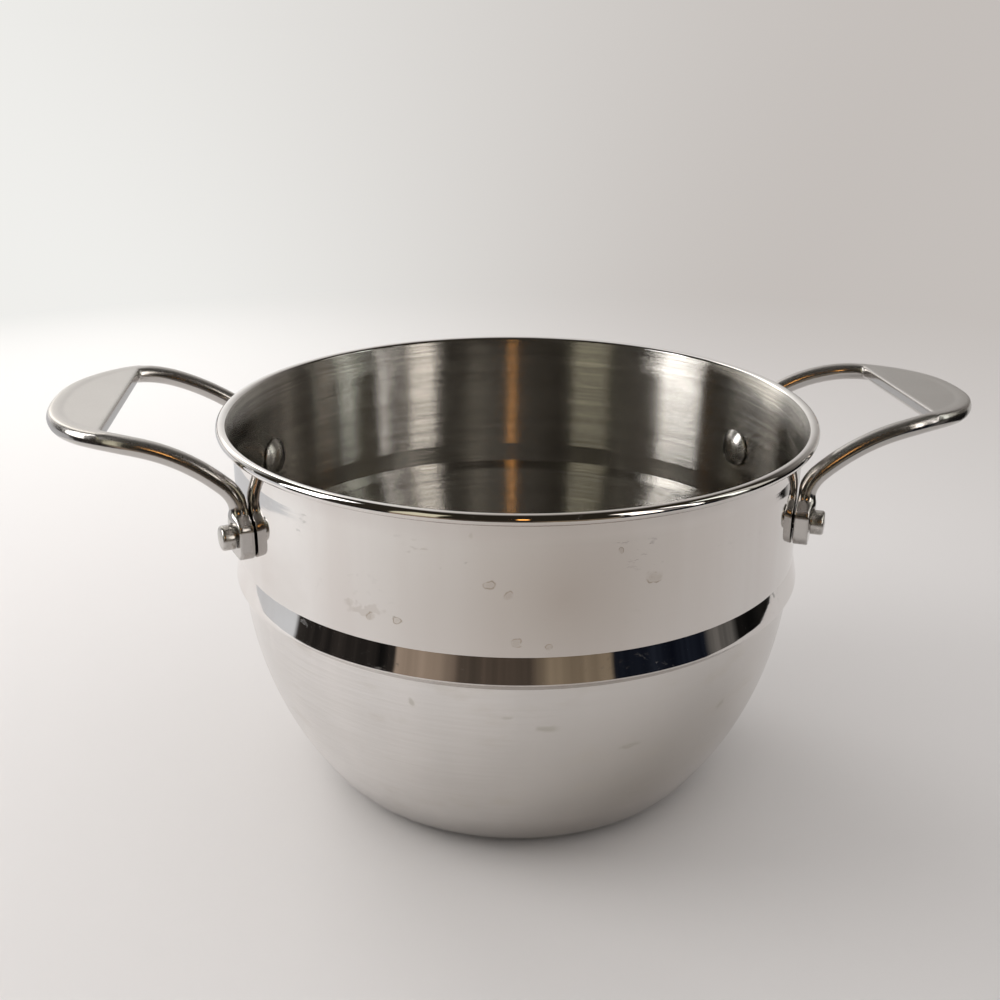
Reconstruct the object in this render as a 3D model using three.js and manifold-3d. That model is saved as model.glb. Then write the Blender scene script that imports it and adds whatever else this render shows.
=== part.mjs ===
// A stainless steel steamer basket: one drawn bowl and two loop handles, each held on by two rivets.
// Millimetres, +Z up. The origin is the middle of the base, and the handles lie along X.
import * as THREE from 'three';
import { mergeGeometries, mergeVertices } from 'three/addons/utils/BufferGeometryUtils.js';
import Module from 'manifold-3d';

const wasm = await Module();
wasm.setup();

// Bowl: sheet, straight upper wall, and a rim that flares out into a rolled bead
const SHEET = 1.0;
const HEIGHT = 140.8;
const WALL_RADIUS = 102.3;
const RIM_REACH = 5.4;
const RIM_BEAD = 3.8;
const FLARE_ANGLE = THREE.MathUtils.degToRad(30);

// Bowl: flaring shoulder with a nosed lower edge that seats on a saucepan
const SHOULDER_DEPTH = 48.2;
const SHOULDER_HEIGHT = 8.8;
const SHOULDER_STEP = 1.8;
const SHOULDER_NOSE = 2.8;

// Bowl: rounded side that starts inside the shoulder and runs down to a flat base
const SIDE_INSET = 2.7;
const SIDE_RADIUS = 130;
const CORNER_RADIUS = 22;
const BASE_RADIUS = 58;

// Steam holes in rings round the middle of the base
const STEAM_HOLE = 5;
const STEAM_STEP = 13;
const STEAM_MARGIN = 9;
const STEAM_FIRST_RING = 6;

// Handle: round rod that climbs from two feet, leans a little and turns round the outer end
const ROD = 6.4;
const REACH = 62.7;
const RISE = 3.5;
const FOOT_ANGLE = THREE.MathUtils.degToRad(22.9);
const FOOT_STRAIGHT = 1.1;
const FOOT_BEND = 12;
const LEG_RADIUS = 71;
const LEG_TOE_IN = THREE.MathUtils.degToRad(2.4);
const END_RADIUS = 86;
const END_CORNER = 35;
const TWIST = -0.035;
const TWIST_RUN = 40;
const RIGHT_DROOP = 1.5;

// Handle: thumb plate across the outer end, and foot pads against the wall
const PLATE_DEPTH = 24;
const PLATE_THICKNESS = 4.8;
const PLATE_SUNK = 0.4;
const PLATE_EASE = 1.0;
const PAD_WIDTH = 15;
const PAD_HEIGHT = 14.5;
const PAD_THICKNESS = 4.8;
const PAD_CORNER = 4;
const PAD_EASE = 0.7;
const PAD_LAP = 1.2;

// Rivets: low domed head inside, plain tail outside
const RIVET_DEPTH = 31.1;
const SHANK = 6;
const HEAD = 14.6;
const HEAD_HEIGHT = 3.2;
const HEAD_EDGE = 0.6;
const TAIL = 8.6;
const TAIL_LENGTH = 4.7;
const TAIL_EASE = 1.0;

// Gap between pieces that touch, and how far a cutter runs past what it cuts
const CLEARANCE = 0.3;
const OVERRUN = 5;

// How finely round shapes are divided
const BOWL_SIDES = 72;
const HOLE_SIDES = 12;
const RIVET_SIDES = 16;
const ROD_SIDES = 12;
const ROD_STEPS = 64;
const LEG_STEPS = 12;
const SIDE_STEPS = 8;
const CORNER_STEPS = 4;
const FLARE_STEPS = 3;
const BEAD_STEPS = 8;
const BEND_STEPS = 6;
const DOME_STEPS = 4;
const EASE_STEPS = 2;

// Places that several pieces share
const innerRadius = WALL_RADIUS - SHEET;
const padFace = WALL_RADIUS + CLEARANCE + PAD_THICKNESS;
const rivetHeight = HEIGHT - RIVET_DEPTH;
const padTop = rivetHeight + PAD_HEIGHT / 2;
const handleLevel = HEIGHT + RISE;
const handleEnd = WALL_RADIUS + REACH;
const QUARTER = Math.PI / 2;
const HALF = Math.PI;
const TURN = 2 * Math.PI;

// A closed body from a three.js geometry, with its shared points joined and empty triangles dropped
function solid(geometry) {
  const bare = geometry.index ? geometry.toNonIndexed() : geometry.clone();
  bare.deleteAttribute('normal');
  bare.deleteAttribute('uv');
  const merged = mergeVertices(bare, 1e-4);
  const index = merged.index.array;
  const kept = [];
  for (let i = 0; i < index.length; i += 3) {
    const [a, b, c] = index.subarray(i, i + 3);
    if (a !== b && b !== c && c !== a) kept.push(a, b, c);
  }
  const mesh = new wasm.Mesh({
    numProp: 3,
    vertProperties: new Float32Array(merged.attributes.position.array),
    triVerts: new Uint32Array(kept),
  });
  return new wasm.Manifold(mesh);
}

// A named mesh from a closed body
function piece(name, body, material) {
  const { vertProperties, triVerts } = body.getMesh();
  const geometry = new THREE.BufferGeometry();
  geometry.setAttribute('position', new THREE.BufferAttribute(vertProperties, 3));
  geometry.setIndex(new THREE.BufferAttribute(triVerts, 1));
  geometry.computeVertexNormals();
  const mesh = new THREE.Mesh(geometry, material);
  mesh.name = name;
  return mesh;
}

function point(x, y) {
  return new THREE.Vector2(x, y);
}

function bearing(from, to) {
  return Math.atan2(to.y - from.y, to.x - from.x);
}

// Points along a circular arc, both ends included
function arc(centre, radius, from, to, steps) {
  const points = [];
  for (let i = 0; i <= steps; i += 1) {
    const angle = from + ((to - from) * i) / steps;
    points.push(point(Math.cos(angle), Math.sin(angle)).multiplyScalar(radius).add(centre));
  }
  return points;
}

// The point at two given distances from two centres, on the left of the way from the first to the second
function meet(first, firstRadius, second, secondRadius) {
  const way = second.clone().sub(first);
  const length = way.length();
  const along = (length ** 2 + firstRadius ** 2 - secondRadius ** 2) / (2 * length);
  const aside = Math.sqrt(firstRadius ** 2 - along ** 2);
  way.normalize();
  return first.clone().addScaledVector(way, along).addScaledVector(point(-way.y, way.x), aside);
}

// A profile of radius and height turned about Z
function turned(profile, sides) {
  return new THREE.LatheGeometry(profile, sides).rotateX(QUARTER);
}

// The bowl's section, from the middle of the base up the outside, over the rim and down the inside
function bowlProfile() {
  const upper = HEIGHT - SHOULDER_DEPTH;
  const crease = point(WALL_RADIUS + SHOULDER_STEP, upper - SHOULDER_HEIGHT);
  const sideTop = crease.clone().sub(point(SIDE_INSET, SHOULDER_NOSE));
  const corner = point(BASE_RADIUS, CORNER_RADIUS);
  const side = meet(corner, SIDE_RADIUS - CORNER_RADIUS, sideTop, SIDE_RADIUS);
  const join = bearing(side, corner);
  const top = bearing(side, sideTop);

  const beadRadius = RIM_BEAD / 2;
  const bead = point(WALL_RADIUS + RIM_REACH - beadRadius, HEIGHT - beadRadius);
  const lip = HALF - FLARE_ANGLE;
  const lipReach = bead.x + beadRadius * Math.cos(lip) - innerRadius;
  const flareRadius = lipReach / (1 - Math.cos(FLARE_ANGLE));
  const flareDrop = (flareRadius - beadRadius) * Math.sin(FLARE_ANGLE);
  const flare = point(innerRadius + flareRadius, bead.y - flareDrop);
  const under = meet(flare, flareRadius - SHEET, bead, beadRadius);

  return [
    point(0, 0),
    ...arc(corner, CORNER_RADIUS, -QUARTER, join, CORNER_STEPS).slice(0, -1),
    ...arc(side, SIDE_RADIUS, join, top, SIDE_STEPS),
    crease,
    point(WALL_RADIUS, upper),
    ...arc(flare, flareRadius - SHEET, HALF, bearing(flare, under), FLARE_STEPS),
    ...arc(bead, beadRadius, bearing(bead, under), lip, BEAD_STEPS).slice(1),
    ...arc(flare, flareRadius, lip, HALF, FLARE_STEPS).slice(1),
    point(innerRadius, upper),
    crease.clone().sub(point(SHEET, 0)),
    ...arc(side, SIDE_RADIUS - SHEET, top, join, SIDE_STEPS),
    ...arc(corner, CORNER_RADIUS - SHEET, join, -QUARTER, CORNER_STEPS).slice(1),
    point(0, SHEET),
  ];
}

// Pins that cut the steam holes: each ring holds one more set of them than the ring inside it
function steamHoles() {
  const rings = Math.floor((BASE_RADIUS - STEAM_MARGIN) / STEAM_STEP);
  const cutters = [];
  for (let ring = 1; ring <= rings; ring += 1) {
    const count = STEAM_FIRST_RING * ring;
    for (let i = 0; i < count; i += 1) {
      const length = SHEET + 2 * OVERRUN;
      const cutter = new THREE.CylinderGeometry(STEAM_HOLE / 2, STEAM_HOLE / 2, length, HOLE_SIDES);
      cutter.rotateX(QUARTER).translate(ring * STEAM_STEP, 0, SHEET / 2);
      cutters.push(cutter.rotateZ((TURN * i) / count));
    }
  }
  return solid(mergeGeometries(cutters));
}

// Pins that cut the shank holes at one handle's two feet, through the wall and the pads
function shankHoles(turn) {
  const inside = innerRadius - OVERRUN;
  const outside = padFace + OVERRUN;
  const radius = SHANK / 2 + CLEARANCE;
  const cutters = [];
  for (const foot of [-FOOT_ANGLE, FOOT_ANGLE]) {
    const cutter = new THREE.CylinderGeometry(radius, radius, outside - inside, HOLE_SIDES);
    cutter.rotateZ(-QUARTER).translate((inside + outside) / 2, 0, rivetHeight);
    cutters.push(cutter.rotateZ(turn + foot));
  }
  return solid(mergeGeometries(cutters));
}

function bowl() {
  const shell = solid(turned(bowlProfile(), BOWL_SIDES));
  return shell.subtract(steamHoles()).subtract(shankHoles(0)).subtract(shankHoles(HALF));
}

// Half of the loop seen from above: straight leg, then a corner and the outer end up to the middle
function halfPlan() {
  const padMiddle = WALL_RADIUS + CLEARANCE + PAD_THICKNESS / 2;
  const foot = point(Math.cos(FOOT_ANGLE), Math.sin(FOOT_ANGLE)).multiplyScalar(padMiddle);
  const along = point(Math.cos(LEG_TOE_IN), -Math.sin(LEG_TOE_IN));
  const end = point(handleEnd - ROD / 2 - END_RADIUS, 0);

  // The corner's centre runs beside the leg until the corner touches the end's arc from inside
  const start = foot.clone().addScaledVector(point(along.y, -along.x), END_CORNER);
  const offset = start.clone().sub(end);
  const lag = offset.dot(along);
  const run = -lag + Math.sqrt(lag ** 2 - offset.lengthSq() + (END_RADIUS - END_CORNER) ** 2);
  const corner = start.clone().addScaledVector(along, run);
  const turn = bearing(end, corner);
  return {
    foot,
    knee: foot.clone().addScaledVector(along, run),
    round: [
      ...arc(corner, END_CORNER, QUARTER - LEG_TOE_IN, turn, BEND_STEPS),
      ...arc(end, END_RADIUS, turn, 0, BEND_STEPS).slice(1),
    ],
  };
}

// Height of the rod's centreline after a given run from the foot: short bend, long arc, then level
function legHeight(run) {
  const bendStart = padTop + FOOT_STRAIGHT;
  const slope = Math.acos((LEG_RADIUS - handleLevel + bendStart) / (LEG_RADIUS - FOOT_BEND));
  const bendRun = FOOT_BEND * (1 - Math.sin(slope));
  if (run < bendRun) return bendStart + Math.sqrt(FOOT_BEND ** 2 - (FOOT_BEND - run) ** 2);
  const left = Math.max(bendRun + LEG_RADIUS * Math.sin(slope) - run, 0);
  return handleLevel - LEG_RADIUS + Math.sqrt(LEG_RADIUS ** 2 - left ** 2);
}

// Centreline of the whole loop, from the foot at -Y to the foot at +Y
function loopCurve() {
  const { foot, knee, round } = halfPlan();
  const half = [new THREE.Vector3(foot.x, foot.y, padTop - PAD_LAP)];
  const places = [];
  for (let i = 0; i < LEG_STEPS; i += 1) places.push(foot.clone().lerp(knee, (i / LEG_STEPS) ** 2));
  places.push(...round);
  let run = 0;
  for (const [i, place] of places.entries()) {
    if (i > 0) run += place.distanceTo(places[i - 1]);
    half.push(new THREE.Vector3(place.x, place.y, legHeight(run)));
  }
  const mirrored = half.slice(0, -1).map(({ x, y, z }) => new THREE.Vector3(x, -y, z));
  return new THREE.CatmullRomCurve3([...mirrored, ...half.reverse()], false, 'centripetal');
}

function loopRod() {
  const section = new THREE.Shape().absarc(0, 0, ROD / 2, 0, TURN);
  const options = { extrudePath: loopCurve(), steps: ROD_STEPS, curveSegments: ROD_SIDES / 2 };
  return new THREE.ExtrudeGeometry(section, options);
}

// A shape pushed out along Z from 0 to a height, with its edges eased inside those limits
function easedSlab(outline, height, ease, easeSteps) {
  const slab = new THREE.ExtrudeGeometry(outline, {
    depth: height - 2 * ease,
    bevelThickness: ease,
    bevelSize: ease,
    bevelOffset: -ease,
    bevelSegments: easeSteps,
    curveSegments: EASE_STEPS + 1,
  });
  return slab.translate(0, 0, ease);
}

// The plate fills the outer end of the loop: its edges lie inside the rod, except on the finger side
function thumbPlate() {
  const { foot, knee, round } = halfPlan();
  const inner = handleEnd - PLATE_DEPTH;
  const path = [foot, knee, ...round.slice(1)];
  const next = path.findIndex((place) => place.x > inner);
  const [before, after] = path.slice(next - 1, next + 1);
  const start = before.clone().lerp(after, (inner - before.x) / (after.x - before.x));
  const upper = [start, ...path.slice(next).filter((place) => place.distanceTo(start) > 2 * PLATE_EASE)];
  const lower = upper.slice(0, -1).map(({ x, y }) => point(x, -y));
  const outline = new THREE.Shape([...upper, ...lower.reverse()]);
  const top = handleLevel + ROD / 2 - PLATE_SUNK;
  return easedSlab(outline, PLATE_THICKNESS, PLATE_EASE, EASE_STEPS).translate(0, 0, top - PLATE_THICKNESS);
}

// A foot pad facing out along X at the rivet's height, with spare depth inwards to be cut to the wall
function footPad() {
  const across = PAD_WIDTH / 2 - PAD_CORNER;
  const up = PAD_HEIGHT / 2 - PAD_CORNER;
  const outline = new THREE.Shape();
  outline.absarc(across, up, PAD_CORNER, 0, QUARTER);
  outline.absarc(-across, up, PAD_CORNER, QUARTER, HALF);
  outline.absarc(-across, -up, PAD_CORNER, HALF, HALF + QUARTER);
  outline.absarc(across, -up, PAD_CORNER, HALF + QUARTER, TURN);
  const depth = PAD_THICKNESS + OVERRUN;
  const pad = easedSlab(outline, depth, PAD_EASE, 1);
  pad.rotateX(QUARTER).rotateZ(QUARTER);
  return pad.translate(padFace - depth, 0, rivetHeight);
}

// A shape of the loop that leans a little to one side past the feet, and may hang lower
function leaning(shape, droop) {
  const places = shape.attributes.position;
  for (let i = 0; i < places.count; i += 1) {
    const share = THREE.MathUtils.smoothstep(places.getX(i), padFace, padFace + TWIST_RUN);
    places.setZ(i, places.getZ(i) + (TWIST * places.getY(i) - droop) * share);
  }
  return shape;
}

// One handle on the +X side, its feet cut to the wall and bored for the rivets
function handle(droop) {
  const clearRadius = WALL_RADIUS + CLEARANCE;
  const wall = [point(0, 0), point(clearRadius, 0), point(clearRadius, HEIGHT), point(0, HEIGHT)];
  let body = solid(leaning(loopRod(), droop)).add(solid(leaning(thumbPlate(), droop)));
  for (const foot of [-FOOT_ANGLE, FOOT_ANGLE]) body = body.add(solid(footPad().rotateZ(foot)));
  return body.subtract(solid(turned(wall, BOWL_SIDES))).subtract(shankHoles(0));
}

// One rivet along X: domed head inside the bowl, shank through wall and pad, tail outside
function rivet() {
  const seat = Math.sqrt((innerRadius - CLEARANCE) ** 2 - (HEAD / 2) ** 2);
  const crown = HEAD_HEIGHT - HEAD_EDGE;
  const domeRadius = (crown ** 2 + (HEAD / 2) ** 2) / (2 * crown);
  const dome = point(0, seat - HEAD_HEIGHT + domeRadius);
  const edge = point(HEAD / 2, seat - HEAD_EDGE);
  const tailStart = padFace + CLEARANCE;
  const tailEnd = tailStart + TAIL_LENGTH;
  const profile = [
    ...arc(dome, domeRadius, -QUARTER, bearing(dome, edge), DOME_STEPS),
    point(HEAD / 2, seat),
    point(SHANK / 2, seat),
    point(SHANK / 2, tailStart),
    point(TAIL / 2, tailStart),
    ...arc(point(TAIL / 2 - TAIL_EASE, tailEnd - TAIL_EASE), TAIL_EASE, 0, QUARTER, EASE_STEPS),
    point(0, tailEnd),
  ];
  return solid(new THREE.LatheGeometry(profile, RIVET_SIDES).rotateZ(-QUARTER));
}

function steel(color, roughness) {
  return new THREE.MeshStandardMaterial({ color, roughness, metalness: 1 });
}

const basket = new THREE.Group();
basket.add(piece('bowl', bowl(), steel(0xc8c5c1, 0.22)));
for (const side of ['right', 'left']) {
  const turn = side === 'right' ? 0 : HALF;
  const front = side === 'right' ? -FOOT_ANGLE : FOOT_ANGLE;
  const droop = side === 'right' ? RIGHT_DROOP : 0;
  const loop = piece(`handle_${side}`, handle(droop), steel(0xcfccc8, 0.18));
  loop.rotation.z = turn;
  basket.add(loop);
  for (const [end, foot] of [['front', front], ['back', -front]]) {
    const pin = piece(`rivet_${side}_${end}`, rivet(), steel(0xbdb8b1, 0.3));
    pin.rotation.z = turn + foot;
    pin.position.z = rivetHeight;
    basket.add(pin);
  }
}

export default basket;
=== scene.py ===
import cmath
import math

import bmesh
import bpy
import numpy as np
from mathutils import Matrix, Vector
from mathutils.geometry import tessellate_polygon

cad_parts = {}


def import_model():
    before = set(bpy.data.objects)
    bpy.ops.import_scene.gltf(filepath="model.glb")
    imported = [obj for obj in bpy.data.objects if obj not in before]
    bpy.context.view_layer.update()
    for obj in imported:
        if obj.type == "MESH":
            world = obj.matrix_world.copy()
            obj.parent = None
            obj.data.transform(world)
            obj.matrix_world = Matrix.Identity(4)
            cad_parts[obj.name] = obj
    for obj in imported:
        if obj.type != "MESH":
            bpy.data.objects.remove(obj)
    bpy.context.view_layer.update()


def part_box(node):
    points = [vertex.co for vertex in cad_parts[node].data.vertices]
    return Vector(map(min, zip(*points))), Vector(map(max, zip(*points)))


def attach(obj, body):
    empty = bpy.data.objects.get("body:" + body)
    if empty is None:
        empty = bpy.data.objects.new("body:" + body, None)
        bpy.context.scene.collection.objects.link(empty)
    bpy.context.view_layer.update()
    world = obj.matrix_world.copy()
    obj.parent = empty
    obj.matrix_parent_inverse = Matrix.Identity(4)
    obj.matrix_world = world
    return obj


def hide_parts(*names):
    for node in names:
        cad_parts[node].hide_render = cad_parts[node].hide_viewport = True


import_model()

MM = 0.001
QUARTER = math.pi / 2

# Sizes that the frame gives
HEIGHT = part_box("bowl")[1].z / MM
RIM_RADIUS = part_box("bowl")[1].x / MM
HANDLE_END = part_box("handle_right")[1].x / MM

# Bowl: sheet, straight upper wall, and a rim that flares out into a rolled bead
SHEET = 1.0
WALL_RADIUS = 102.3
RIM_BEAD = 3.8
FLARE_ANGLE = math.radians(30)

# Bowl: flaring shoulder with a nosed lower edge, then a rounded side and a flat base
SHOULDER_DEPTH = 48.2
SHOULDER_HEIGHT = 8.8
SHOULDER_STEP = 1.8
SHOULDER_NOSE = 2.8
SIDE_INSET = 2.7
SIDE_RADIUS = 130
CORNER_RADIUS = 22
BASE_RADIUS = 58

# Bowl: radii of the creases in the drawn sheet
NOSE_EASE = 0.6
TUCK_EASE = 0.4
SHOULDER_EASE = 0.5

# Steam holes in rings round the middle of the base, and the plain disc that holds them
STEAM_HOLE = 5
STEAM_STEP = 13
STEAM_RINGS = 3
STEAM_FIRST_RING = 6
STEAM_EASE = 0.3
DISC_RADIUS = 47

# Handle: round rod, thumb plate across its outer end, and foot pads against the wall
ROD = 6.4
RISE = 3.5
FOOT_ANGLE = math.radians(22.9)
FOOT_STRAIGHT = 1.1
FOOT_BEND = 12
LEG_RADIUS = 71
LEG_TOE_IN = math.radians(2.4)
END_RADIUS = 86
END_CORNER = 35
TWIST = -0.035
TWIST_RUN = 40
RIGHT_DROOP = 1.5
PLATE_DEPTH = 24
PLATE_THICKNESS = 4.8
PLATE_SUNK = 0.4
PLATE_EASE = 1.0
PLATE_DISH = 0.3
PLATE_DISH_SPREAD = 2.4
PLATE_BLEND = 0.7
PLATE_OVER = 2.4
PLATE_RAMP = 14
PLATE_RAMP_END = 2
PLATE_SATIN_EDGE = 0.5
PLATE_SATIN_BLEND = 1.0
LID_EASE = 0.5
PAD_WIDTH = 15
PAD_HEIGHT = 14.5
PAD_THICKNESS = 4.8
PAD_CORNER = 4
PAD_EASE = 0.5
PAD_LAP = 1.2
PAD_BLEND = 4.0
TAIL_SEAT = 0.4

# Rivets: low domed head inside, plain tail outside
RIVET_DEPTH = 31.1
SHANK = 6
HEAD = 14.6
HEAD_HEIGHT = 3.2
HEAD_EDGE = 0.6
HEAD_EASE = 0.25
TAIL = 8.6
TAIL_LENGTH = 4.7
TAIL_EASE = 1.0
TAIL_CROWN = 0.35
CLEARANCE = 0.3

# How finely the meshes are divided
BOWL_SIDES = 192
HOLE_SIDES = 24
RIVET_SIDES = 48
EASE_STEPS = 6
CORNER_STEPS = 16
SIDE_STEPS = 44
SHOULDER_STEPS = 8
WALL_STEPS = 12
FLARE_STEPS = 8
LIP_STEPS = 10
BEAD_STEPS = 24
HOLE_EDGE_STEPS = 4
DOME_STEPS = 16
CROWN_STEPS = 4
LEG_STEPS = 40
END_STEPS = 24

# A ring of less radius is one point, and an edge that turns by more degrees is sharp
POINT = 1e-6
SHARP = 40
HANDLE_SHARP = 55

# Handle mesh: cells of its grid, rough cells across, and how its points settle on the surface
CELL = 0.65
COARSE = 4
RELAX_ROUNDS = 3
RELAX_SHARE = 0.5
SLOPE_STEP = 0.02
LEAST_SLOPE = 0.2

# Places that several pieces share
INNER_RADIUS = WALL_RADIUS - SHEET
PAD_FACE = WALL_RADIUS + CLEARANCE + PAD_THICKNESS
RIVET_HEIGHT = HEIGHT - RIVET_DEPTH
PAD_TOP = RIVET_HEIGHT + PAD_HEIGHT / 2
HANDLE_LEVEL = HEIGHT + RISE
PLATE_TOP = HANDLE_LEVEL + ROD / 2 - PLATE_SUNK

# The camera that took the photograph, in metres and degrees
CAMERA_PLACE = Vector((-0.04013, -0.43503, 0.27325))
CAMERA_HEADING = math.radians(-4.478)
CAMERA_TILT = math.radians(68.823)
CAMERA_ROLL = math.radians(0.244)
CAMERA_LENS = 45
CAMERA_SENSOR = 36
CAMERA_NEAR = 0.01


def arc(centre, radius, start, stop, steps):
    """Points along a circular arc, both ends included, as complex numbers."""
    return [centre + radius * cmath.exp(1j * a) for a in np.linspace(start, stop, steps + 1)]


def bearing(start, stop):
    return cmath.phase(stop - start)


def meet(first, first_radius, second, second_radius):
    """The point at two distances from two centres, on the left of the way from first to second."""
    way = second - first
    length = abs(way)
    along = (length**2 + first_radius**2 - second_radius**2) / (2 * length)
    aside = math.sqrt(first_radius**2 - along**2)
    return first + way / length * (along + 1j * aside)


def eased(before, corner, after, radius):
    """Points that round off the corner of a polyline with an arc."""
    back = (before - corner) / abs(before - corner)
    ahead = (after - corner) / abs(after - corner)
    half = abs(cmath.phase(ahead / back)) / 2
    centre = corner + (back + ahead) / abs(back + ahead) * radius / math.sin(half)
    start = corner + back * radius / math.tan(half)
    stop = corner + ahead * radius / math.tan(half)
    turn = cmath.phase((stop - centre) / (start - centre))
    first = bearing(centre, start)
    return arc(centre, radius, first, first + turn, EASE_STEPS)


def line(start, stop, steps):
    """Points along a straight line, without its two ends."""
    return [start + (stop - start) * i / steps for i in range(1, steps)]


def bowl_profile():
    """The bowl's section from the base's underside to its top: stretches of points with their finish."""
    upper = HEIGHT - SHOULDER_DEPTH
    crease = complex(WALL_RADIUS + SHOULDER_STEP, upper - SHOULDER_HEIGHT)
    side_top = crease - complex(SIDE_INSET, SHOULDER_NOSE)
    corner = complex(BASE_RADIUS, CORNER_RADIUS)
    side = meet(corner, SIDE_RADIUS - CORNER_RADIUS, side_top, SIDE_RADIUS)
    join = bearing(side, corner)
    top = bearing(side, side_top)

    bead_radius = RIM_BEAD / 2
    bead = complex(RIM_RADIUS - bead_radius, HEIGHT - bead_radius)
    lip = math.pi - FLARE_ANGLE
    lip_reach = bead.real + bead_radius * math.cos(lip) - INNER_RADIUS
    flare_radius = lip_reach / (1 - math.cos(FLARE_ANGLE))
    flare_drop = (flare_radius - bead_radius) * math.sin(FLARE_ANGLE)
    flare = complex(INNER_RADIUS + flare_radius, bead.imag - flare_drop)
    under = meet(flare, flare_radius - SHEET, bead, bead_radius)

    wall_foot = complex(WALL_RADIUS, upper)
    wall_head = complex(WALL_RADIUS, flare.imag)
    inner_foot = complex(INNER_RADIUS, upper)
    inner_head = complex(INNER_RADIUS, flare.imag)
    inner_crease = crease - SHEET
    outer_side = arc(side, SIDE_RADIUS, join, top, SIDE_STEPS)
    inner_side = arc(side, SIDE_RADIUS - SHEET, top, join, SIDE_STEPS)

    outside = [complex(DISC_RADIUS, 0)]
    outside += arc(corner, CORNER_RADIUS, -QUARTER, join, CORNER_STEPS)[:-1]
    outside += outer_side[:-1]
    outside += eased(outer_side[-2], side_top, crease, TUCK_EASE)
    polished = eased(side_top, crease, wall_foot, NOSE_EASE)
    polished += line(crease, wall_foot, SHOULDER_STEPS)[1:-1]
    polished += eased(crease, wall_foot, wall_head, SHOULDER_EASE)
    polished += line(wall_foot, wall_head, WALL_STEPS)[1:]
    polished += arc(flare, flare_radius - SHEET, math.pi, bearing(flare, under), FLARE_STEPS)
    polished += arc(bead, bead_radius, bearing(bead, under), lip, BEAD_STEPS)[1:]
    inside = arc(flare, flare_radius, lip, math.pi, LIP_STEPS)[1:]
    inside += line(inner_head, inner_foot, WALL_STEPS)[:-1]
    inside += eased(inner_head, inner_foot, inner_crease, SHOULDER_EASE)
    inside += line(inner_foot, inner_crease, SHOULDER_STEPS)[1:-1]
    inside += eased(inner_foot, inner_crease, inner_side[0], NOSE_EASE)
    inside += eased(inner_crease, inner_side[0], inner_side[1], TUCK_EASE)
    inside += inner_side[1:]
    inside += arc(corner, CORNER_RADIUS - SHEET, join, -QUARTER, CORNER_STEPS)[1:]
    inside += [complex(DISC_RADIUS, SHEET)]
    return [(outside, "satin"), (polished, "mirror"), (inside, "brushed")]


def link_object(name, data):
    made = bpy.data.objects.new(name, data)
    bpy.context.scene.collection.objects.link(made)
    return made


class Builder:
    """Collects the points and faces of one mesh, in millimetres."""

    def __init__(self):
        self.points = []
        self.faces = []
        self.finishes = []

    def ring(self, points):
        first = len(self.points)
        self.points += points
        return list(range(first, len(self.points)))

    def face(self, corners, finish):
        self.faces.append(corners)
        self.finishes.append(finish)

    def bridge(self, low, high, finish):
        """A band of faces between two closed rings; a ring of one point closes to a tip."""
        count = max(len(low), len(high))
        for i in range(count):
            j = (i + 1) % count
            loop = [low[i % len(low)], low[j % len(low)], high[j % len(high)], high[i % len(high)]]
            self.face(list(dict.fromkeys(loop)), finish)

    def object(self, name, materials, sharp=SHARP):
        mesh = bpy.data.meshes.new(name)
        mesh.from_pydata([Vector(p) * MM for p in self.points], [], self.faces)
        order = list(materials)
        for finish in order:
            mesh.materials.append(materials[finish])
        mesh.polygons.foreach_set("material_index", [order.index(f) for f in self.finishes])
        shell = bmesh.new()
        shell.from_mesh(mesh)
        bmesh.ops.recalc_face_normals(shell, faces=shell.faces)
        shell.to_mesh(mesh)
        shell.free()
        mesh.polygons.foreach_set("use_smooth", [True] * len(mesh.polygons))
        mesh.set_sharp_from_angle(angle=math.radians(sharp))
        return link_object(name, mesh)


def circle(radius, height, sides):
    """Points of a level circle round the Z axis, or its middle if it has no radius."""
    if radius < POINT:
        return [(0, 0, height)]
    angles = [2 * math.pi * i / sides for i in range(sides)]
    return [(radius * math.cos(a), radius * math.sin(a), height) for a in angles]


def turned(builder, stretches, sides):
    """Turns stretches of a section round Z; gives the first and last rings."""
    last = first = None
    for points, finish in stretches:
        for place in points:
            ring = builder.ring(circle(place.real, place.imag, sides))
            if last is None:
                first = ring
            else:
                builder.bridge(last, ring, finish)
            last = ring
    return first, last


def flat_fill(builder, outer, holes, finish):
    """Fills a level outline that has round holes in it."""
    loops = [outer, *holes]
    order = [index for loop in loops for index in loop]
    shape = [[Vector(builder.points[index]) for index in loop] for loop in loops]
    for corners in tessellate_polygon(shape):
        builder.face([order[c] for c in corners], finish)


def bowl(materials):
    """The turned shell, with rings of steam holes through the disc in its base."""
    builder = Builder()
    under, over = turned(builder, bowl_profile(), BOWL_SIDES)
    edge = STEAM_HOLE / 2 + STEAM_EASE
    lower = arc(complex(edge, STEAM_EASE), STEAM_EASE, -QUARTER, -2 * QUARTER, HOLE_EDGE_STEPS)
    upper = arc(complex(edge, SHEET - STEAM_EASE), STEAM_EASE, 2 * QUARTER, QUARTER, HOLE_EDGE_STEPS)
    under_holes, over_holes = [], []
    for ring in range(1, STEAM_RINGS + 1):
        count = STEAM_FIRST_RING * ring
        for i in range(count):
            middle = Matrix.Rotation(2 * math.pi * i / count, 3, "Z") @ Vector((ring * STEAM_STEP, 0, 0))
            last = None
            for place in lower + upper:
                loop = [Vector(p) + middle for p in circle(place.real, place.imag, HOLE_SIDES)]
                now = builder.ring([tuple(p) for p in loop])
                if last is None:
                    under_holes.append(now)
                else:
                    builder.bridge(last, now, "brushed")
                last = now
            over_holes.append(last)
    flat_fill(builder, under, under_holes, "satin")
    flat_fill(builder, over, over_holes, "brushed")
    return builder.object("bowl_shell", materials)


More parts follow.
